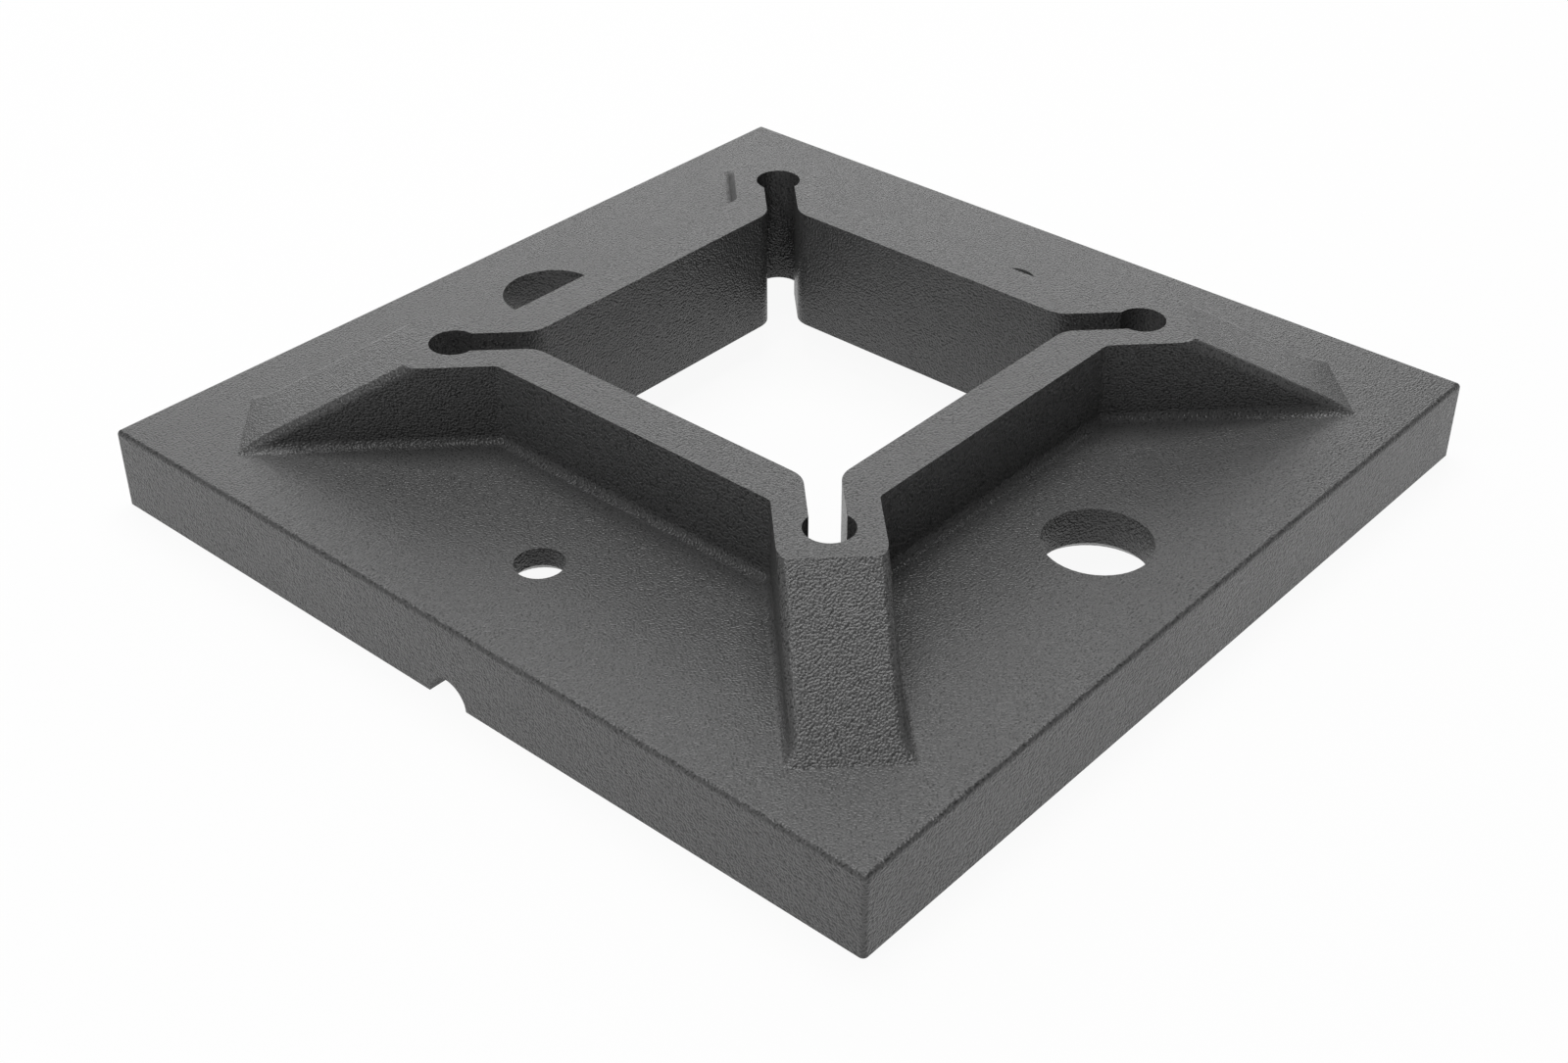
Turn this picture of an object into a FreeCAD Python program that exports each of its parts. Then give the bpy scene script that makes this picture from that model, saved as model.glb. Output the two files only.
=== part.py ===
import FreeCAD, Part
import math
import os

# Floor flange for a square post, one cast piece, sizes in mm.
# The floor is z = 0, the post stands along +Z, and the origin is the middle of the underside.

# Base plate
plate_side = 200.0
plate_thickness = 18.0
plate_edge_radius = 1.0

# Square collar around the post
post_side = 80.0
post_clearance = 0.5
collar_wall = 10.0
collar_rise = 18.0

# Diagonal arms at the collar's corners, each with a rib that slopes down to the plate.
# Reaches are measured along the diagonal from the middle of the post.
arm_width = 20.0
arm_reach = 80.0
rib_reach = 115.0
casting_radius = 2.0

# Keyhole slot in each arm, open to the post socket
keyhole_offset = 50.0
keyhole_radius = 5.0
slot_width = 7.0
slot_mouth_radius = 6.0

# Two large holes on the Y axis and two small ones on the X axis
hole_offset = 75.0
large_hole_radius = 11.0
small_hole_radius = 5.0
hole_chamfer = 2.0

# Underside: a recess inside a rim, a pocket around each small hole, and a drain notch
rim_width = 10.0
recess_depth = 8.0
pocket_radius = 13.0
pocket_depth = 4.0
notch_radius = 5.0

# Derived sizes
plate_half = plate_side / 2
collar_top = plate_thickness + collar_rise
socket_half = post_side / 2 + post_clearance
collar_half = socket_half + collar_wall
pocket_top = recess_depth + pocket_depth
rib_slope = collar_rise / (rib_reach - arm_reach)

# Cutting shapes run this far past the faces they cut
overrun = 5.0
tolerance = 1e-4

z_axis = FreeCAD.Vector(0, 0, 1)
arm_angles = (45, 135, 225, 315)


def centred_box(half_x, half_y, bottom, top):
    corner = FreeCAD.Vector(-half_x, -half_y, bottom)
    return Part.makeBox(2 * half_x, 2 * half_y, top - bottom, corner)


def turned(shape, angle):
    copy = shape.copy()
    copy.rotate(FreeCAD.Vector(0, 0, 0), z_axis, angle)
    return copy


def hole_places():
    """Centre, radius and height of the ceiling under each of the four round holes."""
    for sign in (-1, 1):
        yield FreeCAD.Vector(0, sign * hole_offset, 0), large_hole_radius, recess_depth
        yield FreeCAD.Vector(sign * hole_offset, 0, 0), small_hole_radius, pocket_top


def base_plate():
    """Square plate with its upright edges and its top edges slightly rounded."""
    plate = centred_box(plate_half, plate_half, 0, plate_thickness)
    rounded = [edge for edge in plate.Edges if edge.BoundBox.ZMax > tolerance]
    return plate.makeFillet(plate_edge_radius, rounded)


def arm_blank():
    """Arm at full height along +X, longer than the rib that it is cut down to."""
    length = rib_reach + casting_radius
    corner = FreeCAD.Vector(0, -arm_width / 2, plate_thickness / 2)
    return Part.makeBox(length, arm_width, collar_top - plate_thickness / 2, corner)


def is_foot_edge(edge):
    """True for an edge where the collar or an arm stands on the plate's top face."""
    box = edge.BoundBox
    level = abs(box.ZMin - plate_thickness) < tolerance and box.ZLength < tolerance
    inset = plate_half - plate_edge_radius - tolerance
    inside = max(-box.XMin, box.XMax, -box.YMin, box.YMax) < inset
    return level and inside


def is_inner_corner(edge):
    """True for an upright edge where an arm meets the outside of the collar."""
    box = edge.BoundBox
    upright = box.XLength < tolerance and box.YLength < tolerance
    on_plate = abs(box.ZMin - plate_thickness) < tolerance
    on_collar = abs(max(-box.XMin, box.XMax, -box.YMin, box.YMax) - collar_half) < tolerance
    return upright and on_plate and on_collar


def upper_body():
    """Plate with collar and arms on it, all inner corners rounded with the casting radius."""
    collar = centred_box(collar_half, collar_half, plate_thickness / 2, collar_top)
    arms = [turned(arm_blank(), angle) for angle in arm_angles]
    body = base_plate().multiFuse([collar] + arms).removeSplitter()
    corners = [edge for edge in body.Edges if is_foot_edge(edge) or is_inner_corner(edge)]
    return body.makeFillet(casting_radius, corners)


def rib_cutter():
    """Space above the sloping back of the rib on +X, down to the plate's top face."""
    width = arm_width + 2 * (casting_radius + overrun)
    over = arm_reach - overrun
    high = collar_top + overrun * rib_slope
    beyond = rib_reach + casting_radius + overrun
    outline = [
        FreeCAD.Vector(over, -width / 2, high),
        FreeCAD.Vector(rib_reach, -width / 2, plate_thickness),
        FreeCAD.Vector(beyond, -width / 2, plate_thickness),
        FreeCAD.Vector(beyond, -width / 2, high),
    ]
    side = Part.Face(Part.makePolygon(outline + outline[:1]))
    return side.extrude(FreeCAD.Vector(0, width, 0))


def is_rib_ridge(edge):
    """True for the straight edge between a rib's sloping back and one of its sides."""
    ends = [vertex.Point for vertex in edge.Vertexes]
    if len(ends) != 2 or edge.BoundBox.ZLength < collar_rise / 2:
        return False
    for point in ends:
        along = (abs(point.x) + abs(point.y)) / math.sqrt(2)
        across = abs(abs(point.x) - abs(point.y)) / math.sqrt(2)
        slope_height = collar_top - (along - arm_reach) * rib_slope
        if abs(point.z - slope_height) > tolerance or abs(across - arm_width / 2) > tolerance:
            return False
    return True


def is_slot_mouth(edge):
    """True for an upright edge where a slot opens into the square socket."""
    box = edge.BoundBox
    x, y = abs(edge.Vertexes[0].X), abs(edge.Vertexes[0].Y)
    upright = box.XLength < tolerance and box.YLength < tolerance
    return upright and abs(max(x, y) - socket_half) < tolerance


def socket_and_slots():
    """Square post socket with a diagonal keyhole slot at each corner, right through."""
    top = collar_top + overrun
    bottom = -overrun
    keyhole_reach = keyhole_offset * math.sqrt(2)
    bars = [
        turned(centred_box(keyhole_reach, slot_width / 2, bottom, top), angle)
        for angle in arm_angles[:2]
    ]
    space = centred_box(socket_half, socket_half, bottom, top).multiFuse(bars)
    mouths = [edge for edge in space.Edges if is_slot_mouth(edge)]
    space = space.makeFillet(slot_mouth_radius, mouths)
    keyhole_foot = FreeCAD.Vector(keyhole_reach, 0, bottom)
    keyhole = Part.makeCylinder(keyhole_radius, top - bottom, keyhole_foot)
    return space.multiFuse([turned(keyhole, angle) for angle in arm_angles])


def round_holes():
    """Four round holes, each chamfered where it opens into the underside."""
    tools = []
    for place, radius, ceiling in hole_places():
        bottom = place + z_axis * ceiling
        tools.append(Part.makeCylinder(radius, plate_thickness + overrun - ceiling, bottom))
        tools.append(Part.makeCone(radius + hole_chamfer, radius, hole_chamfer, bottom))
    return tools


def underside():
    """Recess inside the rim, a pocket under each small hole, and the notch in the -X rim."""
    recess_half = plate_half - rim_width
    recess = centred_box(recess_half, recess_half, -overrun, recess_depth)
    corners = [edge for edge in recess.Edges if edge.BoundBox.ZLength > recess_depth]
    tools = [recess.makeFillet(casting_radius, corners)]
    for place, radius, ceiling in hole_places():
        if ceiling > recess_depth:
            tools.append(Part.makeCylinder(pocket_radius, ceiling, place))
    outside = FreeCAD.Vector(-plate_half - overrun, 0, 0)
    inward = FreeCAD.Vector(1, 0, 0)
    tools.append(Part.makeCylinder(notch_radius, overrun + 2 * rim_width, outside, inward))
    return tools


def flange():
    """Upper body opened up, then cut down to ribs whose long edges are rounded last."""
    openings = [socket_and_slots()] + round_holes() + underside()
    body = upper_body().cut(openings).removeSplitter()
    body = body.cut([turned(rib_cutter(), angle) for angle in arm_angles])
    ridges = [edge for edge in body.Edges if is_rib_ridge(edge)]
    return body.makeFillet(casting_radius, ridges).Solids[0]


os.makedirs("parts", exist_ok=True)
flange().exportStep("parts/floor_flange.step")
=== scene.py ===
import math

import bpy
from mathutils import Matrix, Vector

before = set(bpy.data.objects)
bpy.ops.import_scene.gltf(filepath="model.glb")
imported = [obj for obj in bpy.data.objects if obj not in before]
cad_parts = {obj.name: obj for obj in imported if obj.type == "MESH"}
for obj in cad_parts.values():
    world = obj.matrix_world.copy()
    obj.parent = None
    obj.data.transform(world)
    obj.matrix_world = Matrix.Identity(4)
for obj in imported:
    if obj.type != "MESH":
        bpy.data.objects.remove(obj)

bl_info = {
    "name": "Post floor flange",
    "version": (1, 0, 0),
    "blender": (4, 5, 0),
    "location": "3D View > Sidebar > Flange",
    "description": "A cast floor flange for a square post, with its grained skin and a plain studio",
    "category": "Object",
}

NODE = "floor_flange"
MILLIMETRE = 0.001
WHITE = (1.0, 1.0, 1.0, 1.0)

# Socket numbers of a Mix node that blends colours; it has other sockets for plain values
MIX_COLOR_A = 6
MIX_COLOR_B = 7
MIX_COLOR_RESULT = 2

# Heights of the grain at which the painted shade of a pit begins and at which it is darkest
PIT_RIM = 0.42
PIT_FLOOR = 0.3

# Share of the mean roughness by which the patches may differ from it
PATCH_SPREAD = 0.15

# Distance of the soft panels from the origin, in metres
PANEL_DISTANCE = 1.5

# Brightness of the high back panel, as a share of the back panel's
HIGH_BACK_SHARE = 0.25


class FlangeFinish(bpy.types.PropertyGroup):
    """Sizes and colours of the cast skin."""

    skin_color: bpy.props.FloatVectorProperty(
        name="Skin colour",
        description="Dark grey of the cast skin",
        default=(0.09, 0.09, 0.09),
        subtype="COLOR",
        min=0.0,
        max=1.0,
    )
    # Painted shade: the skin's colour is darkened in the grain's pits, standing in for the shade
    # that falls in them
    painted_pit_shade: bpy.props.FloatProperty(
        name="Pit shade",
        description="Brightness of the deepest pits, as a share of the skin's",
        default=0.4,
        subtype="FACTOR",
        min=0.0,
        max=1.0,
    )
    side_relief: bpy.props.FloatProperty(
        name="Side relief",
        description="How many times higher the grain is on upright faces than on level ones",
        default=2.0,
        min=0.0,
    )
    patch_size: bpy.props.FloatProperty(
        name="Patch size",
        description="Width of the duller and shinier patches",
        default=12.0 * MILLIMETRE,
        unit="LENGTH",
    )
    roughness: bpy.props.FloatProperty(
        name="Roughness",
        description="Mean roughness of the skin",
        default=0.3,
        subtype="FACTOR",
        min=0.0,
        max=1.0,
    )
    sheen: bpy.props.FloatProperty(
        name="Sheen",
        description="Strength of the skin's reflections; 0.5 is plain plastic",
        default=0.5,
        subtype="FACTOR",
        min=0.0,
        max=1.0,
    )
    grain_size: bpy.props.FloatProperty(
        name="Grain size",
        description="Width of one grain of the skin",
        default=0.43 * MILLIMETRE,
        unit="LENGTH",
    )
    grain_height: bpy.props.FloatProperty(
        name="Grain height",
        description="Distance of the bump on level faces; the grains span about 0.6 of it",
        default=0.16 * MILLIMETRE,
        unit="LENGTH",
    )


class FlangeStage(bpy.types.PropertyGroup):
    """Camera, floor, ceiling, sky and lamps of the studio."""

    camera_place: bpy.props.FloatVectorProperty(
        name="Camera place",
        description="Where the photograph was taken from",
        default=(-0.2954, -0.2538, 0.2568),
        subtype="TRANSLATION",
        unit="LENGTH",
    )
    camera_aim: bpy.props.FloatVectorProperty(
        name="Camera aim",
        description="Point at the height of the plate's top face that the camera looks at",
        default=(-0.03686, -0.02773, 0.018),
        subtype="TRANSLATION",
        unit="LENGTH",
    )
    lens: bpy.props.FloatProperty(
        name="Lens",
        description="Focal length of the camera",
        default=50.0,
        unit="CAMERA",
        min=1.0,
    )
    floor_side: bpy.props.FloatProperty(
        name="Floor side",
        description="Side of the square floor",
        default=40.0,
        unit="LENGTH",
    )
    floor_glow: bpy.props.FloatProperty(
        name="Floor glow",
        description="Share of plain white in the floor where it is seen; the rest takes shadows",
        default=0.93,
        subtype="FACTOR",
        min=0.0,
        max=1.0,
    )
    top_light: bpy.props.FloatProperty(
        name="Top light",
        description="Brightness of the panel overhead, where 1 is white",
        default=4.8,
        min=0.0,
    )
    top_width: bpy.props.FloatProperty(
        name="Top width",
        description="Width of the panel overhead, across the camera's view",
        default=1.2,
        unit="LENGTH",
    )
    left_light: bpy.props.FloatProperty(
        name="Left light",
        description="Brightness of the square panel on the left, where 1 is white",
        default=3.0,
        min=0.0,
    )
    back_light: bpy.props.FloatProperty(
        name="Back light",
        description="Brightness of the long panel that the level faces mirror, where 1 is white",
        default=1.6,
        min=0.0,
    )
    horizon_light: bpy.props.FloatProperty(
        name="Horizon light",
        description="Brightness of the wide panel just above the horizon, where 1 is white",
        default=0.5,
        min=0.0,
    )
    ceiling_height: bpy.props.FloatProperty(
        name="Ceiling height",
        description="Height of the dark ceiling that only reflections show",
        default=2.0,
        unit="LENGTH",
    )
    ceiling_side: bpy.props.FloatProperty(
        name="Ceiling side",
        description="Side of the square dark ceiling; past it reflections show the white sky",
        default=40.0,
        unit="LENGTH",
    )
    sky_level: bpy.props.FloatProperty(
        name="Sky level",
        description="Brightness of the light from all round and of the ceiling, where 1 is white",
        default=0.1,
        min=0.0,
    )


class NodeSheet:
    """Empties a node tree, then adds and links nodes in the order that they are wired."""

    def __init__(self, tree):
        self.tree = tree
        tree.nodes.clear()

    def add(self, kind, inputs=None, **settings):
        """Adds a node; an input is linked where it is another node's socket, and set otherwise."""
        node = self.tree.nodes.new(kind)
        for name, value in settings.items():
            setattr(node, name, value)
        for socket, value in (inputs or {}).items():
            if isinstance(value, bpy.types.NodeSocket):
                self.tree.links.new(value, node.inputs[socket])
            else:
                node.inputs[socket].default_value = value
        return node


def with_alpha(color, share=1.0):
    """Opaque colour for a node's socket, brought down to a share of its brightness."""
    return (color[0] * share, color[1] * share, color[2] * share, 1.0)


def grain(sheet, place, finish):
    """Height of the skin's grain, from about 0.2 in the pits to 0.8 on the ridges."""
    return sheet.add("ShaderNodeTexNoise", {
        "Vector": place,
        "Scale": 1.0 / finish.grain_size,
        "Detail": 0.0,
    }).outputs["Fac"]


def relief(sheet, normal, finish):
    """Distance of the bump in metres: plain on level faces, greater on upright ones."""
    axes = sheet.add("ShaderNodeSeparateXYZ", {"Vector": normal}).outputs
    level = sheet.add("ShaderNodeMath", {0: axes["Z"]}, operation="ABSOLUTE").outputs["Value"]
    return sheet.add("ShaderNodeMapRange", {
        "Value": level,
        "To Min": finish.grain_height * finish.side_relief,
        "To Max": finish.grain_height,
    }).outputs["Result"]


def pits(sheet, height):
    """Mask of the painted pit shade: 1 in the deepest pits of the grain, 0 on the ground between
    them.
    """
    return sheet.add("ShaderNodeMapRange", {
        "Value": height,
        "From Min": PIT_RIM,
        "From Max": PIT_FLOOR,
    }).outputs["Result"]


def cast_skin(finish):
    """Dark grey cast skin: fine grain with painted shade in its pits, and duller and shinier
    patches.
    """
    material = bpy.data.materials.new("cast_skin")
    material.use_nodes = True
    sheet = NodeSheet(material.node_tree)
    spots = sheet.add("ShaderNodeTexCoord").outputs
    height = grain(sheet, spots["Object"], finish)
    # Skin colour with painted shade in the grain's pits
    color = sheet.add("ShaderNodeMix", {
        "Factor": pits(sheet, height),
        MIX_COLOR_A: with_alpha(finish.skin_color),
        MIX_COLOR_B: with_alpha(finish.skin_color, finish.painted_pit_shade),
    }, data_type="RGBA")
    patches = sheet.add("ShaderNodeTexNoise", {
        "Vector": spots["Object"],
        "Scale": 1.0 / finish.patch_size,
        "Detail": 2.0,
    })
    roughness = sheet.add("ShaderNodeMapRange", {
        "Value": patches.outputs["Fac"],
        "To Min": (1.0 - PATCH_SPREAD) * finish.roughness,
        "To Max": (1.0 + PATCH_SPREAD) * finish.roughness,
    })
    bump = sheet.add("ShaderNodeBump", {
        "Height": height,
        "Distance": relief(sheet, spots["Normal"], finish),
        "Strength": 1.0,
    })
    shader = sheet.add("ShaderNodeBsdfPrincipled", {
        "Base Color": color.outputs[MIX_COLOR_RESULT],
        "Roughness": roughness.outputs["Result"],
        "Specular IOR Level": finish.sheen,
        "Normal": bump.outputs["Normal"],
    })
    sheet.add("ShaderNodeOutputMaterial", {"Surface": shader.outputs["BSDF"]})
    return material


class FLANGE_OT_casting(bpy.types.Operator):
    """Gives the flange's casting its grained skin"""

    bl_idname = "flange.casting"
    bl_label = "Cast flange"

    def execute(self, context):
        finish = context.scene.flange_finish
        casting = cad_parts[NODE]
        casting.data.materials.clear()
        casting.data.materials.append(cast_skin(finish))
        return {"FINISHED"}


def photo_camera(stage):
    """Camera that sees the flange as the photograph does."""
    data = bpy.data.cameras.new("photo_camera")
    data.lens = stage.lens
    camera = bpy.data.objects.new("photo_camera", data)
    camera.location = stage.camera_place
    ahead = Vector(stage.camera_aim) - Vector(stage.camera_place)
    camera.rotation_euler = ahead.to_track_quat("-Z", "Y").to_euler()
    bpy.context.scene.collection.objects.link(camera)
    bpy.context.scene.camera = camera


def seen_white(sheet):
    """1 for a ray that shows the background straight, in a reflection or through glass."""
    # These nodes stay outside a node group, where the export can't read Light Path
    rays = sheet.add("ShaderNodeLightPath").outputs
    seen = rays["Is Camera Ray"]
    for kind in ("Is Glossy Ray", "Is Transmission Ray"):
        either = sheet.add("ShaderNodeMath", {0: seen, 1: rays[kind]}, operation="MAXIMUM")
        seen = either.outputs["Value"]
    return seen


def level_square(name, side, height):
    """Level square of the studio with an empty material; gives back the square and its nodes."""
    half = side / 2
    corners = [
        (-half, -half, height),
        (half, -half, height),
        (half, half, height),
        (-half, half, height),
    ]
    mesh = bpy.data.meshes.new(name)
    mesh.from_pydata(corners, [], [(0, 1, 2, 3)])
    square = bpy.data.objects.new(name, mesh)
    bpy.context.scene.collection.objects.link(square)
    material = bpy.data.materials.new(name)
    material.use_nodes = True
    mesh.materials.append(material)
    return square, NodeSheet(material.node_tree)


def studio_floor(stage):
    """White floor that takes the flange's shadow and can be looked through from below."""
    _, sheet = level_square("studio_floor", stage.floor_side, height=0.0)
    share = sheet.add("ShaderNodeMath", {
        0: seen_white(sheet),
        1: stage.floor_glow,
    }, operation="MULTIPLY")
    matt = sheet.add("ShaderNodeBsdfDiffuse", {"Color": WHITE})
    glow = sheet.add("ShaderNodeEmission", {"Color": WHITE, "Strength": 1.0})
    front = sheet.add("ShaderNodeMixShader", {
        0: share.outputs["Value"],
        1: matt.outputs["BSDF"],
        2: glow.outputs["Emission"],
    })
    clear = sheet.add("ShaderNodeBsdfTransparent")
    side = sheet.add("ShaderNodeNewGeometry")
    whole = sheet.add("ShaderNodeMixShader", {
        0: side.outputs["Backfacing"],
        1: front.outputs["Shader"],
        2: clear.outputs["BSDF"],
    })
    sheet.add("ShaderNodeOutputMaterial", {"Surface": whole.outputs["Shader"]})


def studio_ceiling(stage):
    """Dark ceiling that only reflections show; it brings out the grain of the skin."""
    ceiling, sheet = level_square("studio_ceiling", stage.ceiling_side, stage.ceiling_height)
    for kind in ("camera", "diffuse", "transmission", "volume_scatter", "shadow"):
        setattr(ceiling, "visible_" + kind, False)
    glow = sheet.add("ShaderNodeEmission", {"Color": WHITE, "Strength": stage.sky_level})
    sheet.add("ShaderNodeOutputMaterial", {"Surface": glow.outputs["Emission"]})


def studio_sky(stage):
    """Even sky: white where it is seen, and a faint light from all round on matt surfaces."""
    world = bpy.data.worlds.new("studio_sky")
    world.use_nodes = True
    sheet = NodeSheet(world.node_tree)
    level = sheet.add("ShaderNodeMapRange", {
        "Value": seen_white(sheet),
        "To Min": stage.sky_level,
        "To Max": 1.0,
    })
    light = sheet.add("ShaderNodeBackground", {
        "Color": WHITE,
        "Strength": level.outputs["Result"],
    })
    sheet.add("ShaderNodeOutputWorld", {"Surface": light.outputs["Background"]})
    bpy.context.scene.world = world


def lamp_layout(stage):
    """Name, azimuth and elevation in degrees, width, height and brightness of each soft panel."""
    high_back_light = stage.back_light * HIGH_BACK_SHARE
    yield "panel_horizon", 47, 13, 2.0, 0.7, stage.horizon_light
    yield "panel_back", 45, 23, 1.8, 0.5, stage.back_light
    yield "panel_high_back", 45, 40, 1.8, 0.5, high_back_light
    yield "panel_left", 180, 52, 0.8, 0.8, stage.left_light
    yield "panel_top", 45, 74, stage.top_width, 0.7, stage.top_light


def soft_panel(name, azimuth, elevation, width, height, brightness):
    """Rectangular lamp that faces the origin; a brightness of 1 shows as white."""
    data = bpy.data.lights.new(name, "AREA")
    data.shape = "RECTANGLE"
    data.size = width
    data.size_y = height
    data.energy = brightness * math.pi * width * height
    turn = math.radians(azimuth)
    rise = math.radians(elevation)
    direction = Vector((
        math.cos(rise) * math.cos(turn),
        math.cos(rise) * math.sin(turn),
        math.sin(rise),
    ))
    place = direction * PANEL_DISTANCE
    lamp = bpy.data.objects.new(name, data)
    lamp.location = place
    lamp.rotation_euler = (-place).to_track_quat("-Z", "Y").to_euler()
    bpy.context.scene.collection.objects.link(lamp)


class FLANGE_OT_stage(bpy.types.Operator):
    """Adds the studio: camera, floor, ceiling, sky and lamps"""

    bl_idname = "flange.stage"
    bl_label = "Studio"

    def execute(self, context):
        stage = context.scene.flange_stage
        photo_camera(stage)
        studio_floor(stage)
        studio_ceiling(stage)
        studio_sky(stage)
        for panel in lamp_layout(stage):
            soft_panel(*panel)
        context.scene.view_settings.view_transform = "Standard"
        return {"FINISHED"}


class VIEW3D_PT_flange(bpy.types.Panel):
    """Sidebar panel with every setting and a button for each operator."""

    bl_idname = "VIEW3D_PT_flange"
    bl_label = "Post floor flange"
    bl_space_type = "VIEW_3D"
    bl_region_type = "UI"
    bl_category = "Flange"

    def draw(self, context):
        layout = self.layout
        for group in (context.scene.flange_finish, context.scene.flange_stage):
            for name in group.__annotations__:
                layout.prop(group, name)
        for operator in (FLANGE_OT_casting, FLANGE_OT_stage):
            layout.operator(operator.bl_idname)


CLASSES = (
    FlangeFinish,
    FlangeStage,
    FLANGE_OT_casting,
    FLANGE_OT_stage,
    VIEW3D_PT_flange,
)


def register():
    """Registers the classes and gives every scene the flange's settings."""
    for kind in CLASSES:
        bpy.utils.register_class(kind)
    bpy.types.Scene.flange_finish = bpy.props.PointerProperty(type=FlangeFinish)
    bpy.types.Scene.flange_stage = bpy.props.PointerProperty(type=FlangeStage)


def unregister():
    """Takes the settings and the classes away again."""
    del bpy.types.Scene.flange_stage
    del bpy.types.Scene.flange_finish
    for kind in reversed(CLASSES):
        bpy.utils.unregister_class(kind)


def main():
    """Dresses the flange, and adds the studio."""
    register()
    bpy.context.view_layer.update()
    bpy.ops.flange.casting()
    bpy.ops.flange.stage()


if __name__ == "__main__":
    main()
